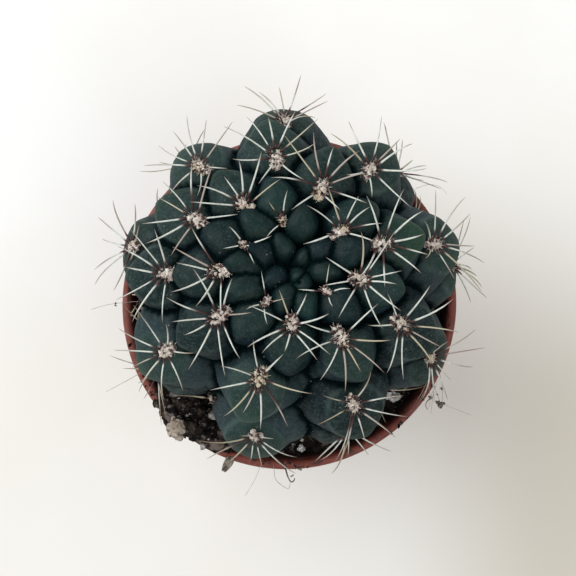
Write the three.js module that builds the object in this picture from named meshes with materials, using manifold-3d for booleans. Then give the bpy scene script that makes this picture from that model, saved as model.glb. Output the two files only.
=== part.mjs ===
// A potted chin cactus (Gymnocalycium): a low ribbed globe of chin-shaped tubercles, each with a woolly areole
// and a fan of spines, standing in potting mix in a thin plastic nursery pot.
// Millimetres, +Z up, origin on the table under the middle of the pot.
import * as THREE from "three";
import { mergeVertices } from "three/addons/utils/BufferGeometryUtils.js";
import Module from "manifold-3d";

const wasm = await Module();
wasm.setup();

// ---------------------------------------------------------------- driving dimensions

const GAP = 0.3; // clearance left between neighbouring solids

const POT = {
  height: 65,
  rimRadius: 42.5,
  rimInside: 40.2,
  collarTop: 64,
  collarFoot: 55,
  collarStep: 1.9,
  wall: 1.5,
  footRadius: 30,
  footEdge: 0.8,
  floorTop: 2.2,
  holes: 6,
  holeRadius: 3,
  holeCircle: 17,
  sides: 48,
};

const SOIL = { level: 59.5, ripple: 0.5, sides: 36, rings: 6, heapBearing: 222, heapHeight: 4.5, heapSpread: 26 };

// The globe that the areoles lie on, its lean, and how far its crown is sunk.
const GLOBE = {
  centre: new THREE.Vector3(0.45, 6.35, 81),
  halfWidth: 40.5,
  halfHeight: 30,
  halfDepth: 25,
  crownDip: 3,
  crownDipSpread: 14,
  lean: 6,
  leanBearing: 25,
};

// Each areole's bearing (clockwise from +Y, seen from above) and its angle from the crown, in degrees.
// Along a rib each one lies just past the chin of the one above it. The crown's are too young for spines.
// A third number is how far a low one is tucked in under the globe, in millimetres.
const CROWN_AREOLES = [
  [162, 2], [241, 3], [99, 4], [326, 3], [200, 5], [56, 4], [290, 7], [167, 6], [6, 8],
  [247, 11], [73, 11], [315, 11], [273, 10],
];
const SPINY_AREOLES = [
  [131, 12], [343, 15], [220, 15], [291, 17], [52, 18],
  [185, 19], [320, 26], [102, 21], [237, 31], [18, 28], [148, 28], [266, 25], [296, 39], [75, 30],
  [198, 41], [350, 40], [118, 43], [268, 47], [37, 46], [156, 58], [318, 55], [79, 57], [238, 61],
  [357, 66], [121, 75], [280, 75], [193, 83], [160, 85], [45, 86, 2.6], [85, 86], [318, 89, 2], [235, 91],
];
const LOW_AREOLES = [
  [264, 93, 4], [64, 108, 3], [103, 108, 3], [141, 106, 3], [178, 112, 3], [212, 110, 3], [248, 114, 3], [294, 108, 3],
];
const BARE_LOW_TUBERCLES = [[5, 106, 3], [35, 112, 3], [337, 110, 3]];

// ---------------------------------------------------------------- small helpers

const radians = THREE.MathUtils.degToRad;
const wave = (n) => {
  const s = Math.sin(n * 12.9898) * 43758.5453;
  return s - Math.floor(s);
};

function solidOf(geometry) {
  const bare = geometry.clone();
  bare.deleteAttribute("normal");
  bare.deleteAttribute("uv");
  const merged = mergeVertices(bare, 1e-4);
  return new wasm.Manifold(
    new wasm.Mesh({
      numProp: 3,
      vertProperties: new Float32Array(merged.attributes.position.array),
      triVerts: new Uint32Array(merged.index.array),
    }),
  );
}

function geometryOf(solid) {
  const mesh = solid.getMesh();
  return new THREE.BufferGeometry()
    .setAttribute("position", new THREE.BufferAttribute(mesh.vertProperties, 3))
    .setIndex(new THREE.BufferAttribute(mesh.triVerts, 1));
}

// The largest closed skin of a solid, without hollows sealed inside it or loose scraps beside it.
function mainBody(geometry) {
  const { position } = geometry.attributes;
  const corners = geometry.index.array;
  const parent = Array.from({ length: position.count }, (_, i) => i);
  const find = (i) => {
    while (parent[i] !== i) i = parent[i] = parent[parent[i]];
    return i;
  };
  for (let t = 0; t < corners.length; t += 3) {
    parent[find(corners[t])] = find(corners[t + 1]);
    parent[find(corners[t + 1])] = find(corners[t + 2]);
  }
  const volumes = new Map();
  const [a, b, c] = [new THREE.Vector3(), new THREE.Vector3(), new THREE.Vector3()];
  for (let t = 0; t < corners.length; t += 3) {
    [a, b, c].forEach((corner, k) => corner.fromBufferAttribute(position, corners[t + k]));
    const skin = find(corners[t]);
    volumes.set(skin, (volumes.get(skin) ?? 0) + a.dot(b.cross(c)) / 6);
  }
  const [largest] = [...volumes].sort((one, other) => other[1] - one[1])[0];
  const kept = [];
  for (let t = 0; t < corners.length; t += 3) {
    if (find(corners[t]) === largest) kept.push(corners[t], corners[t + 1], corners[t + 2]);
  }
  return geometry.clone().setIndex(kept);
}

// ---------------------------------------------------------------- the globe

const leanAxis = new THREE.Vector3(
  -Math.cos(radians(GLOBE.leanBearing)),
  Math.sin(radians(GLOBE.leanBearing)),
  0,
);
const leanTurn = new THREE.Quaternion().setFromAxisAngle(leanAxis, radians(GLOBE.lean));

// The point on the globe at a bearing and an angle from the crown, in the globe's own frame.
function globePoint(bearing, polar) {
  const a = radians(bearing);
  const p = radians(polar);
  const out = GLOBE.halfWidth * Math.sin(p);
  const up = (polar < 90 ? GLOBE.halfHeight : GLOBE.halfDepth) * Math.cos(p);
  const dip = GLOBE.crownDip * Math.exp(-((polar / GLOBE.crownDipSpread) ** 2));
  return new THREE.Vector3(out * Math.sin(a), out * Math.cos(a), up - dip);
}

// Across the rib, down the rib and out of the skin.
function ribFrame(bearing, polar) {
  const down = globePoint(bearing, polar + 1).sub(globePoint(bearing, Math.max(polar - 1, 0))).normalize();
  const across = new THREE.Vector3(Math.cos(radians(bearing)), -Math.sin(radians(bearing)), 0);
  const out = new THREE.Vector3().crossVectors(across, down).normalize();
  return { across, down, out };
}

// ---------------------------------------------------------------- tubercles

const FACE = { sides: 10, outerPoint: 1.5, innerPoint: 2.2 };

// How far out (in face widths) and how far down (in rises) a tubercle's skin runs, from the middle of its face.
const PROFILE = [[0, 0], [0.55, 0.2], [0.88, 0.7], [1.04, 1.4], [1.5, 3.8], [0, 7.5]];

function tubercleSize(polar) {
  const grown = Math.min(polar / 45, 1);
  return {
    halfWidth: 1.9 + 6 * (1 - Math.exp(-polar / 22)),
    reach: 5.4 + 9 * (1 - Math.exp(-polar / 22)),
    behind: 1 + 3.4 * grown,
    rise: 1.9 + 0.3 * grown,
    flare: Math.min(polar / 24, 1),
    sink: 1 + 1.6 * grown,
    pitch: 5 + 7 * Math.exp(-((polar / 14) ** 2)),
  };
}

// The frame in the middle of a tubercle's face: across the rib, down the rib and out of the skin.
function tubercleFrame(bearing, polar, tuck, size) {
  const { across, down, out } = ribFrame(bearing, polar);
  const middle = globePoint(bearing, polar).addScaledVector(down, 0.35 * size.reach).addScaledVector(out, -tuck);
  return new THREE.Matrix4()
    .makeBasis(across, down, out)
    .multiply(new THREE.Matrix4().makeRotationX(radians(size.pitch)))
    .setPosition(middle);
}

// A lathed pebble pressed into a shield in plan: pointed at the chin, blunt behind the areole, its sides flared.
function tubercle([bearing, polar, tuck = 0], proud) {
  const size = tubercleSize(polar);
  const profile = PROFILE.map(([out, down]) => new THREE.Vector2(out, -down * size.rise));
  const pebble = new THREE.LatheGeometry(profile.reverse(), FACE.sides).rotateX(Math.PI / 2);
  const at = pebble.attributes.position;
  const outer = 0.65 * size.reach;
  const inner = size.behind + 0.35 * size.reach;
  for (let i = 0; i < at.count; i++) {
    const rho = Math.hypot(at.getX(i), at.getY(i));
    if (rho < 1e-6) continue;
    const x = at.getX(i) / rho;
    const y = at.getY(i) / rho;
    const n = y > 0 ? FACE.outerPoint : FACE.innerPoint;
    const outline = (Math.abs(x) ** n + Math.abs(y) ** n) ** (-1 / n);
    const past = Math.max(rho - 1, 0);
    const across = Math.min(rho, 1) + past * size.flare;
    const along = Math.min(rho, 1) + past * size.flare * (y > 0 ? 0.25 : 0.6);
    const sink = y > 0 ? 0 : size.sink * (y * Math.min(rho, 1)) ** 2;
    at.setXYZ(
      i,
      size.halfWidth * x * outline * across,
      y * outline * along * (y > 0 ? outer : inner),
      at.getZ(i) - sink,
    );
  }
  pebble.scale(...[size.halfWidth, outer, size.rise * 4].map((half) => 1 + proud / half));
  pebble.translate(0, 0, proud).applyMatrix4(tubercleFrame(bearing, polar, tuck, size));
  return solidOf(pebble);
}

// The neck stands upright in the soil whatever the lean of the globe above it.
const NECK = [[0, -39], [19, -38], [22.5, -26], [28, -14], [30, 0], [0, 4]];

function cactusBody(proud) {
  const core = new THREE.SphereGeometry(1, 24, 14).rotateX(Math.PI / 2);
  const inset = 7 - proud;
  core.scale(GLOBE.halfWidth - inset, GLOBE.halfWidth - inset, GLOBE.halfHeight - inset);
  const neckProfile = NECK.map(([out, up]) => new THREE.Vector2(out === 0 ? 0 : out + proud, up));
  neckProfile[0].y -= proud;
  neckProfile[1].y -= proud;
  const neck = new THREE.LatheGeometry(neckProfile, 24).rotateX(Math.PI / 2);
  const grown = [...SPINY_AREOLES, ...LOW_AREOLES, ...BARE_LOW_TUBERCLES];
  const lumps = [...CROWN_AREOLES, ...grown].map((areole) => tubercle(areole, proud));
  return wasm.Manifold.union([solidOf(core), solidOf(neck), ...lumps]);
}

// ---------------------------------------------------------------- areoles and spines

// Each spine's swing from the down-rib direction, clockwise, and its length on a full-grown areole.
const SPINE_FAN = [
  [-152, 10.5], [-97, 12], [-60, 13], [-29, 11.5], [4, 8.5], [31, 11.5], [62, 13], [98, 12], [149, 10.5],
];
const LOW_FAN = [[-90, 10], [-48, 10], [3, 8], [45, 10], [92, 10]];
const YOUNG_FAN = [[-118, 6], [-30, 5.5], [28, 6], [125, 6.5]];
const SPINE = { root: 0.35, waist: 0.25, rise: 22, riseSpread: 11, swingSpread: 11, bow: 0.09, stepUp: 4, tries: 9 };
const PAD = { across: 1.65, along: 2.4, top: 1.3, shoulder: 0.9, foot: 0.2, under: -0.5, tilt: 8 };

// Where an areole sits on its tubercle, and the frame that its spines fan out in.
function areoleFrame([bearing, polar, tuck = 0], clearFlesh) {
  const size = tubercleSize(polar);
  const inner = size.behind + 0.35 * size.reach;
  const rho = (0.35 * size.reach) / inner;
  const skin = new THREE.Vector3(0, -0.35 * size.reach, -0.36 * rho ** 2 * size.rise - size.sink * rho ** 2);
  const onSkin = tubercleFrame(bearing, polar, tuck, size);
  const place = skin.applyMatrix4(onSkin);
  const turned = onSkin.multiply(new THREE.Matrix4().makeRotationX(radians(PAD.tilt)));
  const out = new THREE.Vector3(0, 0.35, 1).transformDirection(turned);
  const probe = solidOf(new THREE.IcosahedronGeometry(0.7, 0));
  for (let step = 0; step < 12; step++) {
    const tip = place.clone().addScaledVector(out, 1);
    if (probe.translate(tip.toArray()).intersect(clearFlesh).volume() < 0.35) break;
    place.addScaledVector(out, 0.4);
  }
  return turned.setPosition(place);
}

// The point of the pad's rim that a spine grows from, and the spine's own axes: out along it, across it, up.
function spineAxes(swing, aim, rise, grown) {
  const from = radians(swing);
  const to = radians(aim);
  const up = radians(rise);
  return {
    from: new THREE.Vector3(0.8 * PAD.across * grown * Math.sin(from), 0.8 * PAD.along * grown * Math.cos(from), 0),
    along: new THREE.Vector3(Math.cos(up) * Math.sin(to), Math.cos(up) * Math.cos(to), Math.sin(up)),
    across: new THREE.Vector3(Math.cos(to), -Math.sin(to), 0),
    normal: new THREE.Vector3(-Math.sin(up) * Math.sin(to), -Math.sin(up) * Math.cos(to), Math.cos(up)),
  };
}

// A bowed needle a little thicker than the spine, which shows whether the spine would stand clear.
function clearNeedle(frame, axes, length, bow) {
  const start = 0.8;
  const needle = new THREE.CylinderGeometry(GAP, SPINE.root + GAP, length - start + GAP, 4, 2);
  needle.translate(0, start + (length - start + GAP) / 2, 0);
  const at = needle.attributes.position;
  for (let i = 0; i < at.count; i++) {
    const along = at.getY(i) / length;
    at.setZ(i, at.getZ(i) + 4 * along * Math.max(1 - along, 0) * bow * length);
  }
  const turn = new THREE.Matrix4().makeBasis(axes.along.clone().cross(axes.normal), axes.along, axes.normal);
  needle.applyMatrix4(turn.setPosition(axes.from.clone().setZ(0.67))).applyMatrix4(frame);
  return solidOf(needle);
}

// One closed skin: a woolly pad whose rim carries three-sided spines, each a root, a bowed waist and a point.
function tuftGeometry(frame, grown, spines) {
  const points = [];
  const faces = [];
  const add = (point) => points.push(point) - 1;
  const top = add(new THREE.Vector3(0, 0, PAD.top));
  const under = add(new THREE.Vector3(0, 0, PAD.under));
  const roots = spines.map(({ axes, length, bow, grows }) => {
    const side = axes.across.clone().multiplyScalar(0.87 * SPINE.root);
    const left = add(axes.from.clone().sub(side).setZ(PAD.shoulder));
    const right = add(axes.from.clone().add(side).setZ(PAD.shoulder));
    const foot = add(axes.from.clone().multiplyScalar(1.1).setZ(PAD.foot));
    if (!grows) {
      faces.push([left, foot, right]);
      return { left, right, foot };
    }
    const start = axes.from.clone().setZ((2 * PAD.shoulder + PAD.foot) / 3);
    const tip = add(start.clone().addScaledVector(axes.along, length));
    const middle = start.clone().addScaledVector(axes.along, length / 2).addScaledVector(axes.normal, bow * length);
    const waist = [[-0.87, 0.5], [0.87, 0.5], [0, -1]].map(([across, up]) =>
      add(
        middle
          .clone()
          .addScaledVector(axes.across, across * SPINE.waist)
          .addScaledVector(axes.normal, up * SPINE.waist),
      ),
    );
    const ring = [left, right, foot];
    for (let k = 0; k < 3; k++) {
      const next = (k + 1) % 3;
      faces.push([ring[k], waist[k], ring[next]], [ring[next], waist[k], waist[next]], [waist[k], tip, waist[next]]);
    }
    return { left, right, foot };
  });
  roots.forEach((root, k) => {
    const next = roots[(k + 1) % roots.length];
    faces.push([top, root.left, root.right], [top, root.right, next.left], [under, next.foot, root.foot]);
    faces.push([root.right, root.foot, next.left], [next.left, root.foot, next.foot]);
  });
  const geometry = new THREE.BufferGeometry().setFromPoints(points);
  return geometry.setIndex(faces.map(([a, b, c]) => [a, c, b]).flat()).applyMatrix4(frame);
}

function touches(solid, obstacle) {
  return solid.intersect(obstacle).volume() > 1e-4;
}

// A spine that would meet the skin, the pot or a neighbour's spine is raised until it stands clear.
function areoleCluster(areole, number, obstacles) {
  const [, polar] = areole;
  const frame = areoleFrame(areole, obstacles[0]);
  const grown = Math.min(0.45 + polar / 45, 1);
  const grownFan = polar > 92 ? LOW_FAN : SPINE_FAN;
  const spines = (polar < 18 ? YOUNG_FAN : grownFan).map(([swing, fullLength], k) => {
    const seed = number * 17 + k;
    const length = fullLength * (0.8 + 0.3 * wave(seed)) * (polar < 18 ? 1 : grown);
    const aim = swing + (wave(seed + 0.2) - 0.5) * 2 * SPINE.swingSpread;
    const bow = SPINE.bow * (wave(seed + 0.7) - 0.25);
    for (let attempt = 0; attempt < SPINE.tries; attempt++) {
      const rise = SPINE.rise + (wave(seed + 0.4) - 0.5) * 2 * SPINE.riseSpread + attempt * SPINE.stepUp;
      const axes = spineAxes(swing, aim, rise, grown);
      const needle = clearNeedle(frame, axes, length, bow);
      if (!obstacles.some((obstacle) => touches(needle, obstacle))) return { axes, length, bow, grows: true };
    }
    return { axes: spineAxes(swing, aim, SPINE.rise, grown), length, bow, grows: false };
  });
  return solidOf(tuftGeometry(frame, grown, spines));
}

// ---------------------------------------------------------------- pot, soil and stones

function potSolid() {
  const under = POT.collarFoot - 1;
  const taper = (POT.rimInside - (POT.footRadius - POT.wall)) / (POT.collarTop - POT.floorTop);
  const insideAt = (z) => POT.footRadius - POT.wall + (z - POT.floorTop) * taper;
  const lip = (POT.rimRadius - POT.rimInside) / 2;
  const lipMiddle = POT.rimInside + lip;
  const profile = [
    [0, 0],
    [POT.footRadius - POT.footEdge, 0],
    [POT.footRadius, POT.footEdge],
    [insideAt(under) + POT.wall, under],
    [insideAt(under) + POT.wall + POT.collarStep, POT.collarFoot],
    [POT.rimRadius, POT.collarTop],
    [lipMiddle + lip * 0.7, POT.height - 0.3],
    [lipMiddle, POT.height],
    [lipMiddle - lip * 0.7, POT.height - 0.3],
    [POT.rimInside, POT.collarTop],
    [insideAt(POT.floorTop), POT.floorTop],
    [0, POT.floorTop],
  ];
  const shell = new THREE.LatheGeometry(profile.map(([r, z]) => new THREE.Vector2(r, z)), POT.sides);
  let pot = solidOf(shell.rotateX(Math.PI / 2));
  for (let k = 0; k < POT.holes; k++) {
    const a = (k * 2 * Math.PI) / POT.holes;
    const drill = new THREE.CylinderGeometry(POT.holeRadius, POT.holeRadius, 3 * POT.floorTop, 10).rotateX(Math.PI / 2);
    drill.translate(POT.holeCircle * Math.cos(a), POT.holeCircle * Math.sin(a), POT.floorTop / 2);
    pot = pot.subtract(solidOf(drill));
  }
  return pot;
}

function soilHeight(x, y) {
  const bearing = Math.atan2(x, y);
  const out = Math.hypot(x, y) / POT.rimInside;
  const off = Math.abs(Math.atan2(Math.sin(bearing - radians(SOIL.heapBearing)), Math.cos(bearing - radians(SOIL.heapBearing))));
  const heap = SOIL.heapHeight * Math.exp(-((off / radians(SOIL.heapSpread)) ** 2)) * Math.max(0, out - 0.55) / 0.45;
  const ripple = Math.sin(x * 0.55 + 1) * Math.cos(y * 0.5 - 2) + 0.6 * Math.sin(x * 1.1 - y * 0.8);
  return SOIL.level + heap + SOIL.ripple * ripple;
}

function soilSolid(neckHole) {
  const taper = (POT.rimInside - (POT.footRadius - POT.wall)) / (POT.collarTop - POT.floorTop);
  const insideAt = (z) => POT.footRadius - POT.wall + (z - POT.floorTop) * taper - GAP;
  const bottom = POT.floorTop + GAP;
  const profile = [new THREE.Vector2(0, bottom), new THREE.Vector2(insideAt(bottom), bottom)];
  for (let k = 0; k < SOIL.rings; k++) {
    profile.push(new THREE.Vector2(insideAt(SOIL.level) * (1 - (k / SOIL.rings) * 0.55), SOIL.level));
  }
  profile.push(new THREE.Vector2(0, SOIL.level));
  const cake = new THREE.LatheGeometry(profile, SOIL.sides).rotateX(Math.PI / 2);
  const at = cake.attributes.position;
  for (let i = 0; i < at.count; i++) {
    if (at.getZ(i) < SOIL.level - 1e-6) continue;
    const z = Math.min(soilHeight(at.getX(i), at.getY(i)), POT.collarTop - 0.4);
    const out = Math.hypot(at.getX(i), at.getY(i));
    const widen = out > insideAt(SOIL.level) - 0.01 ? insideAt(z) / out : 1;
    at.setXYZ(i, at.getX(i) * widen, at.getY(i) * widen, z);
  }
  return solidOf(cake).subtract(neckHole);
}

// Where a stone lies, seen from above, its half sizes, and its turn about the upright. One lies on the pot's rim.
const STONES = [
  { name: "stone_tan", at: [-28, -31.7], half: [2.9, 3.9, 2.2], turn: 30, colour: 0xb9a287, onRim: true },
  { name: "perlite_right", at: [27, -24.3], half: [2.8, 1.5, 1.3], turn: -20, colour: 0xd9d7d0 },
  { name: "perlite_front", at: [3.3, -37.2], half: [1.6, 1.2, 1], turn: 20, colour: 0xd9d7d0 },
];
const STONE_SEAT = GAP + 0.2;

function stoneGeometry({ at, half, turn, onRim }, number) {
  const stone = new THREE.IcosahedronGeometry(1, 1);
  const p = stone.attributes.position;
  for (let i = 0; i < p.count; i++) {
    const key = Math.round(p.getX(i) * 50) + 7 * Math.round(p.getY(i) * 50) + 31 * Math.round(p.getZ(i) * 50);
    const swell = 0.86 + 0.14 * wave(key + number);
    p.setXYZ(i, p.getX(i) * half[0] * swell, p.getY(i) * half[1] * swell, p.getZ(i) * half[2] * swell);
  }
  stone.computeBoundingBox();
  const seat = (onRim ? POT.height : soilHeight(...at)) + STONE_SEAT;
  stone.rotateZ(radians(turn)).translate(at[0], at[1], seat - stone.boundingBox.min.z);
  return geometryOf(solidOf(stone));
}

// ---------------------------------------------------------------- the scene

const plantPlace = new THREE.Matrix4().compose(GLOBE.centre, leanTurn, new THREE.Vector3(1, 1, 1));
const materials = {
  flesh: new THREE.MeshStandardMaterial({ color: 0x36493f, roughness: 0.6, metalness: 0 }),
  spines: new THREE.MeshStandardMaterial({ color: 0xd8cfb8, roughness: 0.7, metalness: 0 }),
  plastic: new THREE.MeshStandardMaterial({ color: 0x9c4433, roughness: 0.55, metalness: 0 }),
  soil: new THREE.MeshStandardMaterial({ color: 0x2b211b, roughness: 1, metalness: 0 }),
};
const pottedCactus = new THREE.Group();

function place(name, geometry, material) {
  const mesh = new THREE.Mesh(geometry, material);
  mesh.name = name;
  pottedCactus.add(mesh);
}

const flesh = cactusBody(0);
const clearFlesh = cactusBody(GAP);
place("cactus_body", mainBody(geometryOf(flesh)).applyMatrix4(plantPlace), materials.flesh);

const pot = potSolid();
place("pot", geometryOf(pot), materials.plastic);
place("soil", mainBody(geometryOf(soilSolid(solidOf(mainBody(geometryOf(clearFlesh)).applyMatrix4(plantPlace))))), materials.soil);

const toPlant = plantPlace.clone().invert();
const obstacles = [clearFlesh, solidOf(geometryOf(pot).applyMatrix4(toPlant))];
[...SPINY_AREOLES, ...LOW_AREOLES].forEach((areole, k) => {
  const cluster = areoleCluster(areole, k + 1, obstacles);
  obstacles.push(cluster);
  const trimmed = mainBody(geometryOf(cluster.subtract(clearFlesh))).applyMatrix4(plantPlace);
  place(`areole_${String(k + 1).padStart(2, "0")}`, trimmed, materials.spines);
});

STONES.forEach((stone, k) => {
  const material = new THREE.MeshStandardMaterial({ color: stone.colour, roughness: 0.95, metalness: 0 });
  place(stone.name, stoneGeometry(stone, k), material);
});

export default pottedCactus;
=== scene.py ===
# %% [markdown]
# # A potted chin cactus
# A Gymnocalycium is a low green globe whose ribs are broken into fat lumps, the tubercles. Each tubercle
# has a shield-shaped face with a chin at its outer end, and a woolly cushion, the areole, from which a fan of
# spines grows. It stands in peaty mix in a thin plastic nursery pot.
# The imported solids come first, as a fixed frame. The dressed pieces are built around them, in metres.

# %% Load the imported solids
import random
from math import atan2, cos, exp, hypot, pi, radians, remainder, sin, sqrt, tau
from types import SimpleNamespace

import bmesh
import bpy
import numpy as np
from mathutils import Matrix, Vector, noise
from mathutils.bvhtree import BVHTree
from mathutils.interpolate import poly_3d_calc


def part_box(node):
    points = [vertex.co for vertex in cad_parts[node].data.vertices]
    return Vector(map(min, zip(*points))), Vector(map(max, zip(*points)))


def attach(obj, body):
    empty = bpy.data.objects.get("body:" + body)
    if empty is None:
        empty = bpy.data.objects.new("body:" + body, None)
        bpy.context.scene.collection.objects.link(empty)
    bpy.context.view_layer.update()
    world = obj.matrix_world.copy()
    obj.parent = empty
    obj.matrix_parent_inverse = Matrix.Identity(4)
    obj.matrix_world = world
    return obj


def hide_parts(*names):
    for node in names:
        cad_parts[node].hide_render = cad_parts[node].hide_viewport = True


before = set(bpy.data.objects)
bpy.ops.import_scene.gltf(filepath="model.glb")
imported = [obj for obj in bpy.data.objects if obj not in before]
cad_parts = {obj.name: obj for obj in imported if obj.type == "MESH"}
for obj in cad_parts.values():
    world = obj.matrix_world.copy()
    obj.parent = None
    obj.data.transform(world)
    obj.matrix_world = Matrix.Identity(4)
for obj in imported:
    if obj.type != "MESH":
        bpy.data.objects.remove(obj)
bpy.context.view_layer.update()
scene = bpy.context.scene
MM = 0.001  # meshes are built in millimetres, which suit the plant, and scaled at the end

# %% [markdown]
# ## Camera, floor and light
# The plant is seen from straight above, close enough that its crown looks larger than its foot. A real lens
# with a real distance gives that growth; an orthographic camera would lose it. The light is one large soft
# window at the left and a pale room all round, so shadows between the tubercles are deep but soft.

# %% A camera straight above the pot
lens = bpy.data.cameras.new("overhead_lens")
lens.sensor_width = 36
lens.lens = 78.6
camera = bpy.data.objects.new("overhead_camera", lens)
camera.location = (-0.25 * MM, 3.95 * MM, 385 * MM)
scene.collection.objects.link(camera)
scene.camera = camera


# %% A window, a fill and a pale room
POT_MIDDLE = (0, 0, 0.07)


def soft_light(name, place, size, watts, colour):
    lamp = bpy.data.lights.new(name, "AREA")
    lamp.shape = "DISK"
    lamp.size, lamp.energy, lamp.color = size, watts, colour
    holder = bpy.data.objects.new(name, lamp)
    holder.location = place
    holder.rotation_euler = (Vector(POT_MIDDLE) - Vector(place)).to_track_quat("-Z", "Y").to_euler()
    scene.collection.objects.link(holder)


soft_light("window", (-0.64, 0.36, 0.8), 1.3, 8.9, (0.94, 0.97, 1.0))
soft_light("fill", (0.5, -0.4, 1.1), 1.0, 3, (1.0, 0.97, 0.93))
room = bpy.data.worlds.new("pale_room")
room.use_nodes = True
room.node_tree.nodes["Background"].inputs["Color"].default_value = (0.95, 0.97, 1.0, 1)
room.node_tree.nodes["Background"].inputs["Strength"].default_value = 0.62
scene.world = room
scene.view_settings.view_transform = "Standard"

# %% [markdown]
# ## Making nodes by name
# Every finish below is a small node tree. One helper adds a node, sets its options and wires its sockets, so
# a recipe reads as a list of steps. A socket knows its own tree, so no recipe has to pass the tree along.


# %% A helper that adds and wires one node
def wire(at, kind, sockets=None, **options):
    """Adds a node to the tree that at, a tree or one of its sockets, belongs to."""
    tree = at.id_data
    node = tree.nodes.new("ShaderNode" + kind)
    for name, value in options.items():
        setattr(node, name, value)
    for socket, value in (sockets or {}).items():
        if isinstance(value, bpy.types.NodeSocket):
            tree.links.new(value, node.inputs[socket])
        else:
            node.inputs[socket].default_value = value
    return node


def feed(node, label, value):
    value.id_data.links.new(value, node.inputs[label])


# %% Sums, masks and mixes
def reckon(operation, *values):
    return wire(values[0], "Math", dict(enumerate(values)), operation=operation).outputs[0]


def times(first, *others):
    for other in others:
        first = reckon("MULTIPLY", first, other)
    return first


def ramped(value, start, end, low=0.0, high=1.0, kind="SMOOTHSTEP"):
    """low up to start, high from end on, with a smooth step between them."""
    limits = {"Value": value, "From Min": start, "From Max": end, "To Min": low, "To Max": high}
    return wire(value, "MapRange", limits, interpolation_type=kind).outputs["Result"]


def mixed(mask, low, high):
    """Colour low where mask is 0 and high where it is 1."""
    low, high = (c if isinstance(c, bpy.types.NodeSocket) else (*c, 1) for c in (low, high))
    return wire(mask, "Mix", {0: mask, 6: low, 7: high}, data_type="RGBA").outputs[2]


def over(colour, *layers):
    """Lays more colours over one, each where all of its masks are 1."""
    for top, *masks in layers:
        colour = mixed(times(*masks), colour, top)
    return colour


def scaled(colour, by):
    return wire(colour, "VectorMath", {0: colour, 3: by}, operation="SCALE").outputs[0]


def noise_at(place, scale, detail):
    return wire(place, "TexNoise", {"Vector": place, "Scale": scale, "Detail": detail}).outputs["Fac"]


# %% [markdown]
# ## Patterns that several finishes share
# Skin, plastic, peat and stone all have patches that drift from light to dark, and fine specks on top. Both
# are built once as node groups with named inputs, and each finish uses them with its own sizes.


# %% An empty group
def new_group(name, outputs, **inputs):
    """A group that takes a Vector and some numbers, and what its nodes take and give."""
    tree = bpy.data.node_groups.new(name, "ShaderNodeTree")
    tree.interface.new_socket("Vector", in_out="INPUT", socket_type="NodeSocketVector")
    for label, value in inputs.items():
        tree.interface.new_socket(label, in_out="INPUT", socket_type="NodeSocketFloat").default_value = value
    for label in outputs:
        tree.interface.new_socket(label, in_out="OUTPUT", socket_type="NodeSocketFloat")
    return tree, tree.nodes.new("NodeGroupInput").outputs, tree.nodes.new("NodeGroupOutput")


# %% Soft drifting patches, whose share is set by Level
PATCHES, given, result = new_group("patches", ["Mask"], Scale=200.0, Level=0.5, Softness=0.15)
cloud = noise_at(given["Vector"], given["Scale"], 5.0)
low, high = (reckon(way, given["Level"], given["Softness"]) for way in ("SUBTRACT", "ADD"))
feed(result, "Mask", ramped(cloud, low, high))


def patches(place, scale, level=0.5, softness=0.15):
    values = {"Vector": place, "Scale": scale, "Level": level, "Softness": softness}
    return wire(place, "Group", values, node_tree=PATCHES).outputs["Mask"]


# %% Small round specks, with a grainy height for them
SPECKS, given, result = new_group("specks", ["Mask", "Height"], Scale=2000.0, Radius=0.3)
cells = wire(SPECKS, "TexVoronoi", {"Vector": given["Vector"], "Scale": given["Scale"]})
cloud = noise_at(given["Vector"], given["Scale"], 3.0)
spot = ramped(reckon("SUBTRACT", given["Radius"], cells.outputs["Distance"]), 0.0, 0.15)
feed(result, "Mask", times(spot, ramped(cloud, 0.45, 0.6)))
feed(result, "Height", cloud)


def specks(place, scale, radius):
    values = {"Vector": place, "Scale": scale, "Radius": radius}
    found = wire(place, "Group", values, node_tree=SPECKS).outputs
    return found["Mask"], found["Height"]


# %% The parts of every finish
def new_finish(name, rough=0.5, shine=0.5, **coat):
    """A material, its shader and the place on the piece."""
    material = bpy.data.materials.new(name)
    material.use_nodes = True
    surface = material.node_tree.nodes["Principled BSDF"]
    for label, value in {"Roughness": rough, "Specular_IOR_Level": shine, **coat}.items():
        surface.inputs[label.replace("_", " ")].default_value = value
    return material, surface, material.node_tree.nodes.new("ShaderNodeTexCoord").outputs["Object"]


def painted(surface, colour):
    feed(surface, "Base Color", colour)


def bumped(surface, height, depth, strength):
    """Raises the surface by height times depth, in metres, in the shading alone."""
    bump = wire(height, "Bump", {"Height": height, "Strength": strength, "Distance": depth})
    feed(surface, "Normal", bump.outputs["Normal"])


def carried(place, name):
    """A number that each corner of the mesh carries."""
    return wire(place, "Attribute", attribute_name=name).outputs["Fac"]


def layered(name, rough, shine, cloud, low, high, layers=(), bump=None):
    """A finish that drifts from low to high, with patches laid over it: their cloud, colour and share."""
    material, surface, place = new_finish(name, rough, shine)
    laid = [(top, patches(place, *spread), *share) for spread, top, *share in layers]
    painted(surface, over(mixed(patches(place, *cloud), low, high), *laid))
    if bump:
        scale, softness, depth, strength = bump
        bumped(surface, patches(place, scale, 0.5, softness), depth, strength)
    return material


# %% [markdown]
# ## Keeping and changing meshes
# A bmesh is a mesh on the workbench. It is kept as plain mesh data, which can be laid into another bmesh as
# often as a form repeats. A few templates serve every crumb, tuft, hair and spine, and one helper runs a
# modifier.


# %% From the workbench to mesh data and back
def kept_mesh(built, name):
    mesh = bpy.data.meshes.new(name)
    built.to_mesh(mesh)
    built.free()
    return mesh


def opened(mesh):
    built = bmesh.new()
    built.from_mesh(mesh)
    return built


def add_copy(built, template):
    """Adds a template mesh to built and returns its new vertices."""
    first = len(built.verts)
    built.from_mesh(template)
    built.verts.ensure_lookup_table()
    return built.verts[first:]


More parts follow.
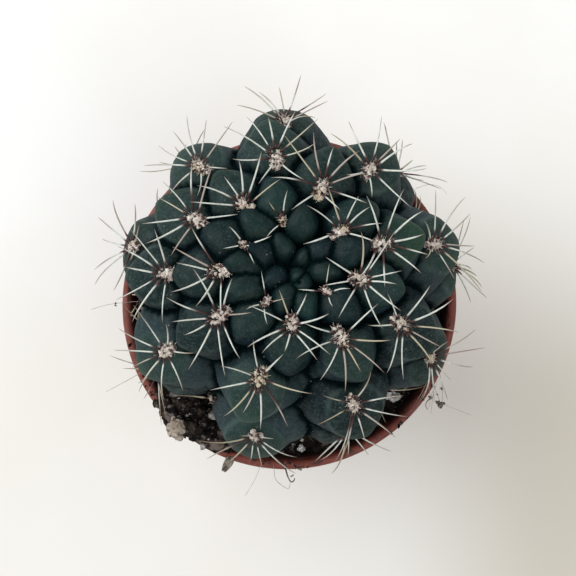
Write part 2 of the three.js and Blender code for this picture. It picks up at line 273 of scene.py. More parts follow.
def modified(built, kind, **options):
    """What one modifier makes of a mesh."""
    holder = bpy.data.objects.new("holder", kept_mesh(built, "holder"))
    scene.collection.objects.link(holder)
    modifier = holder.modifiers.new("modifier", kind)
    for name, value in options.items():
        setattr(modifier, name, value)
    bpy.context.view_layer.update()
    shown = holder.evaluated_get(bpy.context.evaluated_depsgraph_get())
    made = opened(bpy.data.meshes.new_from_object(shown))
    bpy.data.objects.remove(holder)
    return made


# %% Templates: balls, and awls that stand on Z with rings along them
def sphere_template(around, rings):
    ball = bmesh.new()
    bmesh.ops.create_uvsphere(ball, u_segments=around, v_segments=rings, radius=1)
    return kept_mesh(ball, "ball")


def round_template(detail):
    ball = bmesh.new()
    bmesh.ops.create_icosphere(ball, subdivisions=detail, radius=1)
    return kept_mesh(ball, "ball")


def slice_at(built, height, clear_inner=False):
    """Cuts an edge all round at a height, and takes away what lies below it if asked."""
    bmesh.ops.bisect_plane(
        built, geom=built.verts[:] + built.edges[:] + built.faces[:],
        plane_co=(0, 0, height), plane_no=(0, 0, 1), clear_inner=clear_inner,
    )


def awl_template(sides, end, rings):
    awl = bmesh.new()
    bmesh.ops.create_cone(awl, cap_ends=True, segments=sides, radius1=1, radius2=end, depth=1)
    bmesh.ops.translate(awl, vec=(0, 0, 0.5), verts=awl.verts)
    for ring in rings:
        slice_at(awl, ring)
    return kept_mesh(awl, "awl")


BEAD, LUMP, CLUSTER_BALL = (round_template(detail) for detail in (1, 2, 3))
CHIP_BALL = sphere_template(9, 7)
FLATS = 7  # sides that are knocked off grit and stones
UP = Vector((0, 0, 1))

# %% [markdown]
# ## The floor
# A plain pale table top, with painted shade that makes it darker and warmer towards the near right, away from
# the window. It is far larger than the plant, so no edge comes into view from any side.

# %% A pale table top
floor_finish, surface, place = new_finish("pale_table", 0.75)
right, far, _ = wire(place, "SeparateXYZ", {0: place}).outputs
# painted shade: the table is darker and warmer towards the near right, away from the window
painted_shade_near_right = times(ramped(far, -0.04, 0.045, 1.0, 0.0), ramped(right, 0.025, 0.085, 0.28, 1.0))
bleached = mixed(patches(place, 9.0), (0.90, 0.88, 0.82), (0.94, 0.93, 0.89))
painted(surface, over(bleached, [(0.645, 0.60, 0.51), painted_shade_near_right]))
table_top = bmesh.new()
bmesh.ops.create_grid(table_top, x_segments=2, y_segments=2, size=30)
floor = bpy.data.objects.new("table_top", kept_mesh(table_top, "table_top"))
floor.data.materials.append(floor_finish)
scene.collection.objects.link(floor)

# %% [markdown]
# ## Turning a mesh into a piece
# A piece is a mesh with its finish, which rides on the one body of this object and stands for the packed
# solids that it replaces. Its place is in its mesh, so the object itself stays at the origin.


# %% Finish a piece
def finish_piece(name, built, finish, nodes=(), smooth=True):
    bmesh.ops.scale(built, vec=(MM, MM, MM), verts=built.verts)
    mesh = kept_mesh(built, name)
    mesh.materials.append(finish)
    mesh.polygons.foreach_set("use_smooth", [smooth] * len(mesh.polygons))
    piece = bpy.data.objects.new(name, mesh)
    scene.collection.objects.link(piece)
    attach(piece, "root")
    if nodes:
        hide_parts(*nodes)
    mesh.calc_loop_triangles()
    print(name, "triangles:", len(mesh.loop_triangles))
    return piece


# %% [markdown]
# ## The globe that carries the tubercles
# Tubercles follow a low globe, wider than it is high and sunk at the crown. The frame on it has one axis
# across the rib, one down the rib and one out of the skin. The whole plant leans a little.

# %% The globe and its frames
GLOBE = SimpleNamespace(half_width=40.5, half_height=30, half_depth=25, dip=3, dip_spread=14)
PLANT_CENTRE = Vector((0.45, 6.35, 81))
LEAN, LEAN_BEARING = radians(6), radians(25)
lean_axis = Vector((-cos(LEAN_BEARING), sin(LEAN_BEARING), 0))
plant_place = Matrix.Translation(PLANT_CENTRE) @ Matrix.Rotation(LEAN, 4, lean_axis)
to_plant = plant_place.inverted()


def globe_point(bearing, polar):
    a, p = radians(bearing), radians(polar)
    out = GLOBE.half_width * sin(p)
    up = (GLOBE.half_height if polar < 90 else GLOBE.half_depth) * cos(p)
    dip = GLOBE.dip * exp(-((polar / GLOBE.dip_spread) ** 2))
    return Vector((out * sin(a), out * cos(a), up - dip))


def rib_frame(bearing, polar):
    down = (globe_point(bearing, polar + 1) - globe_point(bearing, max(polar - 1, 0))).normalized()
    across = Vector((cos(radians(bearing)), -sin(radians(bearing)), 0))
    return across, down, across.cross(down).normalized()


# %% [markdown]
# ## Where the areoles are
# Each is a bearing, clockwise from the far side as seen from above, and an angle from the crown. They follow
# the ribs: each one lies just past the chin of the one above. A third number tucks a low one in under the
# globe.

# %% The areoles, from the crown down
CROWN = [
    (162, 2), (241, 3), (99, 4), (326, 3), (200, 5), (56, 4), (290, 7), (167, 6), (6, 8),
    (247, 11), (73, 11), (315, 11), (273, 10), (39, 0.3, 0.5), (172, 0.2, 0.2),
]
SPINY = [
    (131, 12), (343, 15), (220, 15), (291, 17), (52, 18),
    (185, 19), (320, 26), (102, 21), (237, 31), (18, 28), (148, 28), (266, 25), (296, 39), (75, 30),
    (198, 41), (350, 40), (118, 43), (268, 47), (37, 46), (156, 58), (318, 55), (79, 57), (238, 61),
    (357, 66), (121, 75), (280, 75), (193, 83), (160, 85), (45, 86, 2.6), (85, 86), (318, 89, 2), (235, 91),
    (264, 93, 4), (64, 108, 3), (103, 108, 3), (141, 106, 3), (178, 112, 3), (212, 110, 3), (248, 114, 3),
    (294, 108, 3),
]
BARE_LOW = [
    (5, 106, 3), (35, 112, 3), (337, 110, 3), (183, 95, 1), (170, 96, 1.2), (246, 56, 1.7), (184, 80, 2.4),
    (167, 84, 2.4),
]
WIDER = {  # low forms that only widen the flank of another tubercle
    (183, 95, 1): (193, 83), (184, 80, 2.4): (193, 83), (170, 96, 1.2): (160, 85), (167, 84, 2.4): (160, 85),
    (246, 56, 1.7): (238, 61),
}
FRESH = (75, 30)
DEEP = [  # some are darker than the rest
    (241, 3), (56, 4), (290, 7), (73, 11), (131, 12), (291, 17), (266, 25), (237, 31), (118, 43), (268, 47),
    (156, 58), (160, 85), (45, 86, 2.6), (264, 93, 4), (103, 108, 3), (141, 106, 3), (178, 112, 3),
]
PALE = [  # and some paler
    (162, 2), (167, 6), (172, 0.2, 0.2), (343, 15), (102, 21), (198, 41), (318, 55), (79, 57), (238, 61),
    (193, 83), (85, 86), (318, 89, 2), (248, 114, 3),
]
JUT = {  # degrees that a chin sticks out more, or less where it is below 0
    (357, 66): -8, (318, 55): -8, (280, 75): -8, (37, 46): -4, (79, 57): -5, (318, 89): -4, (193, 83): 14,
}
tubercles = CROWN + SPINY + BARE_LOW
print("tubercles:", len(tubercles), "with an areole:", len(SPINY))

# %% [markdown]
# ## One tubercle
# A tubercle is a pebble pressed into a shield: pointed at the chin, blunt behind the areole, with a domed
# face that breaks over a crisp edge into steep flanks. A sphere already has the right rings and no seam, so
# each ring is moved out and down along the shield's own profile.

# %% The shield's profile and outline
# angle from the sphere's top (0 to 1), how far out in face widths, how far down in rises
PROFILE = np.array([
    (0, 0, 0), (0.12, 0.26, 0.03), (0.24, 0.5, 0.14), (0.34, 0.7, 0.34), (0.41, 0.82, 0.54),
    (0.46, 0.89, 0.7), (0.49, 0.93, 0.85), (0.52, 0.965, 1.03), (0.57, 1.03, 1.4), (0.65, 1.17, 2.1),
    (0.74, 1.36, 3.1), (0.82, 1.5, 3.9), (0.9, 1.36, 5.6), (0.95, 0.8, 7.0), (1, 0, 7.5),
])
OUTER_POINT, INNER_POINT = 1.5, 2.2  # how pointed the outline is at the chin and behind the areole
WIDEST_LEVEL = 0.82  # where the profile turns back in
AREOLE_SHARE = 0.35  # of the reach lies between a tubercle's middle and its areole
FULL_GROWN = 45  # degrees from the crown at which a tubercle is full grown


def tubercle_size(polar):
    grown = min(polar / FULL_GROWN, 1)
    spread = 1 - exp(-polar / 22)
    return SimpleNamespace(
        half_width=1.9 + 6 * spread, reach=5.4 + 9 * spread, behind=1 + 3.4 * grown, rise=1.9 + 0.3 * grown,
        flare=min(polar / 24, 1), sink=1 + 1.6 * grown, pitch=5 + 7 * exp(-((polar / 14) ** 2)),
    )


def frame_matrix(across, down, out, place):
    return Matrix.Translation(place) @ Matrix((across, down, out)).transposed().to_4x4()


def tubercle_frame(bearing, polar, tuck, size):
    across, down, out = rib_frame(bearing, polar)
    middle = globe_point(bearing, polar) + down * AREOLE_SHARE * size.reach - out * tuck
    return frame_matrix(across, down, out, middle) @ Matrix.Rotation(radians(size.pitch), 4, "X")


def jutting(bearing, polar, size):
    """Turns a tubercle about its areole, so that its chin sticks out more or less."""
    about = Matrix.Translation((0, -AREOLE_SHARE * size.reach, -0.5))
    return about @ Matrix.Rotation(radians(JUT.get((bearing, polar), 0)), 4, "X") @ about.inverted()


# %% Press a sphere into a shield
TUBERCLE_BALL = sphere_template(44, 34)
ball_points = np.array([v.co for v in TUBERCLE_BALL.vertices])


def pressed_shield(bearing, polar, tuck=0):
    """The tubercle's points in the plant's frame, and for each point its place on the shield."""
    size = tubercle_size(polar)
    level = np.arccos(np.clip(ball_points[:, 2], -1, 1)) / pi
    rho = np.interp(level, PROFILE[:, 0], PROFILE[:, 1])
    fall = np.interp(level, PROFILE[:, 0], PROFILE[:, 2]) * size.rise
    around = np.arctan2(ball_points[:, 1], ball_points[:, 0])
    x, y = np.cos(around), np.sin(around)
    outward = y > 0
    n = np.where(outward, OUTER_POINT, INNER_POINT)
    outline = (np.abs(x) ** n + np.abs(y) ** n) ** (-1 / n)
    on_face, past = np.minimum(rho, 1), np.maximum(rho - 1, 0)
    outer, inner = (1 - AREOLE_SHARE) * size.reach, size.behind + AREOLE_SHARE * size.reach
    across = size.half_width * x * outline * (on_face + past * size.flare)
    half = np.where(outward, outer, inner)
    along = y * outline * (on_face + past * size.flare * np.where(outward, 0.25, 0.6)) * half
    sink = np.where(outward, 0, size.sink * (y * on_face) ** 2)
    local = np.stack([across, along, -fall - sink, np.ones_like(x)], 1)
    place = np.array(tubercle_frame(bearing, polar, tuck, size) @ jutting(bearing, polar, size))
    return (local @ place.T)[:, :3], rho + np.where(level < WIDEST_LEVEL, 0, 1), along / outer


# %% [markdown]
# ## The whole skin
# The tubercles, a core and a neck overlap freely. A voxel remesh then keeps only what is outside, and joins
# it into one even skin with soft creases, as on the living plant, where a boolean would leave hairline edges.

# %% Gather the overlapping forms
FLANK = 1.3  # a shield number that is well out on the flank
overlapping = bmesh.new()
shield_of_point, chin_of_point, owner_of_point = [], [], []
for tubercle in tubercles:
    points, rho, chin = pressed_shield(*tubercle)
    for v, point in zip(add_copy(overlapping, TUBERCLE_BALL), points):
        v.co = point
    shield_of_point.extend(np.maximum(rho, FLANK) if tubercle in WIDER else rho)
    chin_of_point.extend(chin)
    owner_of_point.extend([tubercles.index(WIDER.get(tubercle, tubercle))] * len(points))
bmesh.ops.recalc_face_normals(overlapping, faces=overlapping.faces)
shields = BVHTree.FromBMesh(overlapping)
overlapping.faces.ensure_lookup_table()
face_points = [[v.index for v in f.verts] for f in overlapping.faces]
face_places = [[v.co.copy() for v in f.verts] for f in overlapping.faces]
print("faces before they are joined:", len(face_points))

# %% Add the core and the neck
CORE_INSET = 7
core_width, core_height = GLOBE.half_width - CORE_INSET, GLOBE.half_height - CORE_INSET
core = opened(sphere_template(48, 32))
bmesh.ops.scale(core, vec=(core_width, core_width, core_height), verts=core.verts)
add_copy(overlapping, kept_mesh(core, "core"))
NECK = [(0, -30), (21, -29), (22.5, -26), (28, -14), (30, 0), (0, 4)]


def lathed(profile, steps):
    """A closed turned form from a profile that starts and ends on the axis."""
    turned = bmesh.new()
    corners = [turned.verts.new((out, 0, up)) for out, up in profile]
    edges = [turned.edges.new(pair) for pair in zip(corners, corners[1:])]
    bmesh.ops.spin(
        turned, geom=corners + edges, cent=(0, 0, 0), axis=(0, 0, 1), angle=tau, steps=steps, use_merge=True
    )
    bmesh.ops.remove_doubles(turned, verts=turned.verts, dist=1e-4)
    bmesh.ops.recalc_face_normals(turned, faces=turned.faces)
    return turned


add_copy(overlapping, kept_mesh(lathed(NECK, 48), "neck"))

# %% Join them into one skin
bmesh.ops.transform(overlapping, matrix=plant_place, verts=overlapping.verts)
skin = modified(overlapping, "REMESH", mode="VOXEL", voxel_size=0.56)
print("skin faces:", len(skin.faces))

# %% [markdown]
# The remesh also walls the inside and the part under the soil, which nobody sees. The skin is cut just below
# the soil, and the open edge is drawn down into a plain neck.

# %% Cut below the soil and draw the neck down
SOIL_CUT = 57.0
slice_at(skin, SOIL_CUT, clear_inner=True)
about = Matrix.Translation(Vector((-PLANT_CENTRE.x, -PLANT_CENTRE.y, 0)))
for narrower, lower in ((0.93, 4), (0.9, 6), (0.9, 5)):
    rim = [e for e in skin.edges if e.is_boundary]
    grown = bmesh.ops.extrude_edge_only(skin, edges=rim)["geom"]
    drawn = [g for g in grown if isinstance(g, bmesh.types.BMVert)]
    bmesh.ops.scale(skin, vec=(narrower, narrower, 1), verts=drawn, space=about)
    bmesh.ops.translate(skin, vec=(0, 0, -lower), verts=drawn)
bmesh.ops.holes_fill(skin, edges=[e for e in skin.edges if e.is_boundary])
bmesh.ops.recalc_face_normals(skin, faces=skin.faces)
bmesh.ops.smooth_vert(skin, verts=skin.verts, factor=0.35, use_axis_x=True, use_axis_y=True, use_axis_z=True)
print("skin faces above the soil:", len(skin.faces))

# %% [markdown]
# The youngest tubercles in the crown are only a few millimetres across and press tightly together. The faces
# there are divided once more, so that the folds between them can be as narrow as they are.

# %% Divide the crown more finely
FINE_RADIUS = 15.5
young_edges = set()
for face in skin.faces:
    middle = to_plant @ face.calc_center_median()
    if middle.z > 0 and hypot(middle.x, middle.y) < FINE_RADIUS:
        young_edges.update(face.edges)
bmesh.ops.subdivide_edges(skin, edges=list(young_edges), cuts=1, use_grid_fill=True)
print("skin faces with a finer crown:", len(skin.faces))

# %% [markdown]
# ## What each point of the skin knows
# Colour follows the shields: the face is greener, a pale line of painted highlight runs along its edge, the
# flanks carry a bluish bloom, and painted shade darkens the skin towards the furrows and makes them nearly
# black. So each point stores how far out it is on its own shield, how near the chin, how far from the nearest
# furrow, and a tone for its tubercle. A look-up in the overlapping forms gives the first two.

# %% Look up each point's shield
LOOK_UP_REACH = 2.5  # farther from every shield than this lies the core or the neck
skin.verts.ensure_lookup_table()
count = len(skin.verts)
shield, chin, owner = np.full(count, 2.0), np.zeros(count), np.full(count, -1)
for v in skin.verts:
    spot, _, face, distance = shields.find_nearest(to_plant @ v.co)
    if face is None or distance > LOOK_UP_REACH:
        continue
    corners = list(zip(poly_3d_calc(face_places[face], spot), face_points[face]))
    shield[v.index] = sum(weight * shield_of_point[p] for weight, p in corners)
    chin[v.index] = sum(weight * chin_of_point[p] for weight, p in corners)
    owner[v.index] = owner_of_point[face_points[face][0]]

# %% Measure how far each point is from a furrow
FURROW, FAR = 0.3, 4.0  # the number in a furrow, and the largest one
CORE_TOP = 74  # the core shows only above this, at the bottom of the deepest furrows
edge_ends = np.array([[v.index for v in e.verts] for e in skin.edges])
places = np.array([v.co for v in skin.verts])
edge_lengths = np.linalg.norm(places[edge_ends[:, 0]] - places[edge_ends[:, 1]], axis=1)
furrow = np.full(count, FAR)
furrow[edge_ends[owner[edge_ends[:, 0]] != owner[edge_ends[:, 1]]].ravel()] = FURROW
# the core that shows at the bottom of the deepest furrows counts as furrow, so it gets the furrows' painted
# shade
furrow[(owner < 0) & (places[:, 2] > CORE_TOP)] = FURROW
for _ in range(8):
    for a, b in ((0, 1), (1, 0)):
        np.minimum.at(furrow, edge_ends[:, a], furrow[edge_ends[:, b]] + edge_lengths)
print("points near a furrow:", int((furrow < 1).sum()), "of", count)

# %% Store the numbers on the skin
tone_dice = random.Random(11)
tones = np.array([
    0.0 if t in DEEP else 1.0 if t in PALE else tone_dice.uniform(0.35, 0.65) for t in tubercles
] + [0.5])
tones[tubercles.index(FRESH)] = 2  # one tubercle is a fresher green than the rest
ages = np.array([min(t[1] / FULL_GROWN, 1) for t in tubercles] + [1.0])
known = {"shield": shield, "chin": chin, "furrow": furrow, "tone": tones[owner], "age": ages[owner]}
for name, values in known.items():
    layer = skin.verts.layers.float.new(name)
    for v, value in zip(skin.verts, values):
        v[layer] = float(value)

# %% [markdown]
# Neighbouring tubercles press against each other, so the line where they meet is a sharp fold and not a soft
# dip. The points along each furrow are pushed in. Living skin is never perfectly smooth either: a slow noise
# swells and sinks it by a few tenths of a millimetre, which bends the highlights without changing the size.

# %% Fold the furrows in and swell the skin unevenly
FOLD_DEPTH, FOLD_WIDTH = 0.7, 0.5
skin.normal_update()
ways_out = [v.normal.copy() for v in skin.verts]
for v, way_out, from_furrow in zip(skin.verts, ways_out, furrow):
    share = 0.6 + 0.4 * ages[owner[v.index]]
    fold = FOLD_DEPTH * share * exp(-(((from_furrow - FURROW) / (FOLD_WIDTH * share)) ** 2))
    swell = 0.28 * noise.noise(v.co * 0.16) + 0.1 * noise.noise(v.co * 0.5)
    v.co += way_out * (swell - fold)

# %% [markdown]
# ## The living skin
# Chin cacti are matt and slightly waxy. A dark blue-green lies under a greyish bloom that is thickest on the
# older flanks. Fine pale dots, the breathing pores, cover the faces. The shader takes one colour built up in
# layers. The wax is a thin coat that fades out in the furrows, because a fold gives no highlight.

# %% The colours of the flesh
flesh, surface, place = new_finish("flesh", shine=0.0, Coat_Roughness=0.38, Coat_IOR=1.45)
shield_at, chin_at, furrow_at, tone_at, age_at = (carried(place, name) for name in known)
grown_up = ramped(age_at, 0.22, 1.0)
on_face = ramped(shield_at, 0.86, 1.04, 1.0, 0.0)
flank = mixed(grown_up, (0.0068, 0.0195, 0.026), (0.0175, 0.031, 0.035))
face = mixed(grown_up, (0.0062, 0.022, 0.0185), (0.0175, 0.035, 0.029))
bluer = times(ramped(tone_at, 0.0, 0.36, 0.6, 0.0), ramped(age_at, 0.15, 0.3, 1.0, 0.35))
fresh = times(ramped(tone_at, 1.2, 1.8), ramped(chin_at, -0.1, 0.8, 0.2, 0.85))
colour = over(
    mixed(on_face, flank, face),
    [(0.030, 0.060, 0.040), ramped(chin_at, 0.15, 0.95), on_face, grown_up, 0.7],
    [(0.007, 0.018, 0.018), patches(place, 120.0, 0.52, 0.2), 0.4],
)
colour = scaled(colour, ramped(tone_at, 0.0, 1.0, 0.6, 1.18, "LINEAR"))
colour = over(colour, [(0.003, 0.0135, 0.0195), bluer], [(0.020, 0.051, 0.027), fresh, on_face])

# %% Pores, bloom, a painted highlight on the edge of a face, painted shade in the furrows, and dust
pores, grain = specks(place, 2100.0, 0.48)
dust, _ = specks(place, 420.0, 0.12)
powdered = ramped(age_at, 0.0, 1.0, 0.3, 1.0)
from_edge = reckon("ABSOLUTE", reckon("SUBTRACT", shield_at, 0.93))
# a pale line just inside the edge of a face is a painted highlight, where the crisp edge catches the light
painted_edge_highlight = times(ramped(from_edge, 0.0, 0.1, 1.0, 0.0), ramped(furrow_at, 0.5, 1.5), ramped(age_at, 0.4, 1.0))
furrow_shade_width = ramped(age_at, 0.1, 0.7, 0.48, 1.2)
colour = over(
    colour,
    [(0.085, 0.12, 0.115), pores, powdered, 0.42],
    [(0.05, 0.070, 0.074), patches(place, 700.0, 0.55, 0.12), powdered, 0.3],
    [(0.075, 0.12, 0.105), painted_edge_highlight, patches(place, 160.0, 0.48, 0.2), 0.45],
)
# painted shade: the colour darkens towards a furrow, and the furrow itself is painted nearly black
colour = over(
    scaled(colour, ramped(furrow_at, FURROW, FAR, 0.68, 1.1)),
    [(0.0016, 0.0050, 0.0056), ramped(furrow_at, FURROW, furrow_shade_width, 0.96, 0.0)],
    [(0.34, 0.36, 0.33), dust, 0.8],
)
painted(surface, colour)

# %% Wax, roughness and grain, and the skin as a piece
off_furrow = ramped(furrow_at, 0.4, ramped(age_at, 0.1, 0.7, 1.0, 1.7))
feed(surface, "Coat Weight", times(off_furrow, ramped(age_at, 0.2, 1.0, 0.3, 0.24)))
feed(surface, "Roughness", ramped(patches(place, 300.0), 0.0, 1.0, 0.5, 0.65))
bumped(surface, grain, 0.00012, 0.5)
finish_piece("cactus_skin", skin, flesh, ["cactus_body"])

# %% [markdown]
# ## Reading the spines that the solids hold
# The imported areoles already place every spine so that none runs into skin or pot. Each packed spine is a
# three-sided sliver: a tip joined to three waist corners, which join the root. A merged copy of the mesh
# gives those three points. The top of the woolly pad is the corner over the areole's place on the skin, or
# straight out from there where the pad was lifted clear of the chin above it.


# %% Find each spine's root, waist and tip
SHORTEST_SPINE, WIDEST_WAIST = 1.2, 0.45  # what else has three edges at a corner belongs to the pad
PAD_TOP, PAD_TILT, PAD_LIFT, PAD_STEPS = 1.3, radians(8), 0.4, 12


def middle_of(verts):
    return sum((v.co for v in verts), Vector()) / len(verts)


def read_areole(node, on_skin, out):
    copy = opened(node.data)
    bmesh.ops.remove_doubles(copy, verts=copy.verts, dist=2e-6)
    found = []
    for tip in copy.verts:
        if len(tip.link_edges) != 3:
            continue
        waist = [e.other_vert(tip) for e in tip.link_edges]
        middle = middle_of(waist)
        widest = max((w.co - middle).length for w in waist)
        if (tip.co - middle).length < SHORTEST_SPINE * MM or widest > WIDEST_WAIST * MM:
            continue
        roots = {e.other_vert(w) for w in waist for e in w.link_edges} - {tip, *waist}
        if roots:
            found.append((middle_of(roots) / MM, middle / MM, tip.co / MM))
    lifts = [on_skin + out * PAD_LIFT * step for step in range(PAD_STEPS)]
    top = min((v.co / MM for v in copy.verts), key=lambda c: min((c - lifted).length for lifted in lifts))
    copy.free()
    return top, found


# %% Where each pad lies
def areole_place(bearing, polar, tuck=0):
    """The areole's frame: its origin on the skin, its axes across the rib, down it and out."""
    size = tubercle_size(polar)
    behind = AREOLE_SHARE * size.reach
    rho = behind / (size.behind + behind)
    on_shield = Vector((0, -behind, -0.36 * rho**2 * size.rise - size.sink * rho**2))
    shield_place = plant_place @ tubercle_frame(bearing, polar, tuck, size)
    tilted = shield_place @ Matrix.Rotation(PAD_TILT, 4, "X")
    tilted.translation = shield_place @ on_shield
    return tilted


areoles = []
for number, areole in enumerate(SPINY):
    name = f"areole_{number + 1:02d}"
    turned = areole_place(*areole)
    across, down, out = (turned.to_3x3().col[k].normalized() for k in range(3))
    lift_way = (down * 0.35 + out).normalized()
    top, spines = read_areole(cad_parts[name], turned.translation + out * PAD_TOP, lift_way)
    pad = frame_matrix(across, down, out, top - out * PAD_TOP)
    grown = min(0.45 + areole[1] / FULL_GROWN, 1)
    areoles.append(SimpleNamespace(name=name, polar=areole[1], grown=grown, spines=spines, pad=pad))
print("areoles:", len(areoles), "spines:", [len(a.spines) for a in areoles])

# %% [markdown]
# ## The spines
# A spine is a stiff awl: a swollen root, an even shaft with a slight bow, and a fine point. One small tapered
# template with rings along it is bent to every spine, so nearly three hundred of them stay light. No two real
# spines bow alike, so each one is pushed a little sideways and worn a little short.

# %% Bend a template along three points
AWL = awl_template(7, 0.12, (0.03, 0.1, 0.22, 0.38, 0.55, 0.72, 0.88))
AWL_THICKNESS = np.array([
    (0, 0.36), (0.05, 0.37), (0.12, 0.29), (0.3, 0.27), (0.6, 0.24), (0.85, 0.15), (1, 0.04),
])


def bend(verts, root, middle, tip, thickness, flatten=1.0):
    """Lays an upright template along the bow through three points, and tells how far up each point is."""
    control = 2 * middle - (root + tip) / 2
    side = (tip - root).cross(Vector((0.3, 0.2, 1))).normalized()
    ways = []
    for v in verts:
        t = min(max(v.co.z, 0), 1)
        spine_at = (1 - t) ** 2 * root + 2 * t * (1 - t) * control + t * t * tip
        heading = (2 * (1 - t) * (control - root) + 2 * t * (tip - control)).normalized()
        flat = Vector((v.co.x, v.co.y, 0))
        if flat.length > 1e-6:
            flat = flat.normalized() * float(np.interp(t, thickness[:, 0], thickness[:, 1]))
        v.co = spine_at + side * flat.x + heading.cross(side).normalized() * flat.y * flatten
        ways.append(t)
    return ways


# %% Lay the spines
SHY = ("areole_01", "areole_02", "areole_03", "areole_04")  # the youngest, with thin spines and a little wool
RUBBED = "areole_33"  # the rim has rubbed this fan short
LOW, OLD = 88, 50  # degrees from the crown past which spines have dried, all or in part
SPINE_LAYERS = ("along", "red", "hue", "dry")
spine_dice = random.Random(5)
draw = spine_dice.uniform
spine_bed = bmesh.new()
layers = [spine_bed.verts.layers.float.new(name) for name in SPINE_LAYERS]
for areole in areoles:
    low, old = areole.polar > LOW, areole.polar > OLD
    girth = 0.77 * (0.7 + 0.3 * areole.grown) * (0.75 if low else 0.92 if old else 1)
    if areole.name in SHY:
        girth *= 0.8
    for root, middle, tip in areole.spines:
        length = (tip - root).length
        sideways = (tip - root).cross(UP).normalized()
        middle = middle + sideways * length * draw(-0.04, 0.04)
        middle += UP * (length * draw(-0.01, 0.03))
        worn = 0.55 if areole.name == RUBBED else draw(0.02, 0.16)
        tip = tip.lerp(root, worn) + sideways * length * draw(-0.02, 0.02)
        verts = add_copy(spine_bed, AWL)
        ways = bend(verts, root, middle, tip, AWL_THICKNESS * (1, girth * draw(0.8, 1.12)), 0.85)
        red = draw(0.12, 0.26) if spine_dice.random() < 0.88 else draw(0.35, 0.7)
        hue = draw(0.8, 1) if low else spine_dice.random()
        dry = 1 if low else draw(0.4, 0.9) if old else 0
        for v, way in zip(verts, ways):
            for layer, value in zip(layers, (way, red, hue, dry)):
                v[layer] = value

# %% [markdown]
# A spine is dark red-brown where it leaves the wool, then bone white, and its point is brown. The colour
# follows the number that each ring carries. A second number says how far up the red reaches, and a third
# makes a few spines honey-coloured and a few a dull grey-pink. The outer ones have dried from the tip, which
# a fourth number says.

# %% The spine finish
spine_finish, surface, place = new_finish("spine_horn", 0.5, 0.35)
along_at, red_at, hue_at, dry_at = (carried(place, name) for name in SPINE_LAYERS)
grain = patches(place, 900.0, 0.5, 0.3)
bone = mixed(grain, (0.51, 0.525, 0.46), (0.76, 0.78, 0.70))
horn = over(
    bone, [(0.46, 0.41, 0.29), ramped(hue_at, 0.84, 0.9)],
    [(0.40, 0.335, 0.285), ramped(hue_at, 0.08, 0.12, 1.0, 0.0)],
)
way_up = reckon("DIVIDE", along_at, red_at)
red_foot = mixed(ramped(way_up, 0.5, 1.0), (0.085, 0.032, 0.028), horn)
colour = over(
    mixed(ramped(way_up, 0.0, 0.6), (0.022, 0.007, 0.007), red_foot),
    [(0.19, 0.125, 0.09), ramped(along_at, 0.66, 1.0, 0.0, 0.85)],
    [(0.27, 0.205, 0.145), ramped(along_at, 0.25, 0.7), dry_at],
)
painted(surface, colour)
bumped(surface, grain, 0.00006, 0.4)
finish_piece("spines", spine_bed, spine_finish, [a.name for a in areoles])

# %% [markdown]
# ## The woolly areoles
# Each spine fan grows from a cushion of short felted wool, a pinkish beige, with dark scaly spots between the
# spine roots. Tufts are small lumpy balls pushed together, with short curled hairs standing out of them.

# %% A dented or chipped ball
HAIR = awl_template(3, 0.3, (0.3, 0.6, 0.85))
HAIR_THICKNESS = np.array([(0, 0.07), (0.6, 0.05), (1, 0.015)])


def thrown(draw, *limits):
    return Vector([draw(*limits) for _ in range(3)])


def lump(built, template, place, radii, dice, rough, flats=0):
    """A template ball, chipped flat on some sides if asked, dented by noise and stretched, at a place."""
    coarse, fine, share, tilt = (3, 8, 0.7, 0.3) if flats else (1.7, 4, 0.6, 0.5)
    verts = add_copy(built, template)
    shift = thrown(dice.uniform, -50, 50)
    sides = [(thrown(dice.gauss, 0, 1).normalized(), dice.uniform(0.55, 0.85)) for _ in range(flats)]
    turn = Matrix.Rotation(dice.uniform(0, tau), 3, "Z") @ Matrix.Rotation(dice.uniform(-tilt, tilt), 3, "X")
    for v in verts:
        ball = v.co.normalized()
        for side, far in sides:
            ball -= side * max(0, ball.dot(side) - far)
        ball *= 1 + rough * (noise.noise(ball * coarse + shift) + share * noise.noise(ball * fine + shift))
        v.co = place + turn @ (ball * Vector(radii))
    return verts


# %% Felt the cushions
PAD_ACROSS, PAD_ALONG = 1.5, 3.05
wool_dice = random.Random(3)
wool_bed, hair_bed, scale_bed = bmesh.new(), bmesh.new(), bmesh.new()


def felt(pad, grown, tufts, hairs, scales):
    turn, centre, draw = pad.to_3x3(), pad.translation, wool_dice.uniform

    def at(angle, out, up):
        return Vector((PAD_ACROSS * grown * out * cos(angle), PAD_ALONG * grown * out * sin(angle), up))

    for _ in range(tufts):
        angle, out = draw(0, tau), sqrt(wool_dice.random()) * 0.98
        radius = draw(0.22, 0.55) * (0.6 + 0.4 * grown)
        radii = (radius, radius * draw(0.9, 1.4), radius * 0.9)
        place = centre + turn @ at(angle, out, 0.62 * (1 - out * out) - 0.2)
        lump(wool_bed, LUMP, place, radii, wool_dice, 0.6)
    for _ in range(hairs):
        angle, out = draw(0, tau), sqrt(wool_dice.random()) * 1.02
        root = at(angle, out, 0.35 * (1 - out * out))
        lean = Vector((cos(angle) * out, sin(angle) * out, 0.45)).normalized()
        length = draw(0.35, 0.92) * (0.5 + 0.5 * grown)
        curl = thrown(draw, -0.5, 0.5) * length
        points = (root, root + lean * length * 0.5 + curl * 0.6, root + lean * length + curl)
        bend(add_copy(hair_bed, HAIR), *(centre + turn @ point for point in points), HAIR_THICKNESS)
    for _ in range(scales):
        angle, out = draw(0, tau), draw(0.7, 1.08)
        radius = draw(0.2, 0.36)
        spot = at(angle, out, 0.75 * (1 - out * out) + 0.22)
        lump(scale_bed, BEAD, centre + turn @ spot, (radius, radius * 1.5, radius), wool_dice, 0.3)


for areole in areoles:
    grown = areole.grown * (0.62 if areole.name in SHY else 1)
    felt(areole.pad, grown, int(6 + 26 * grown), int(20 + 90 * grown), int(3 + 9 * grown))

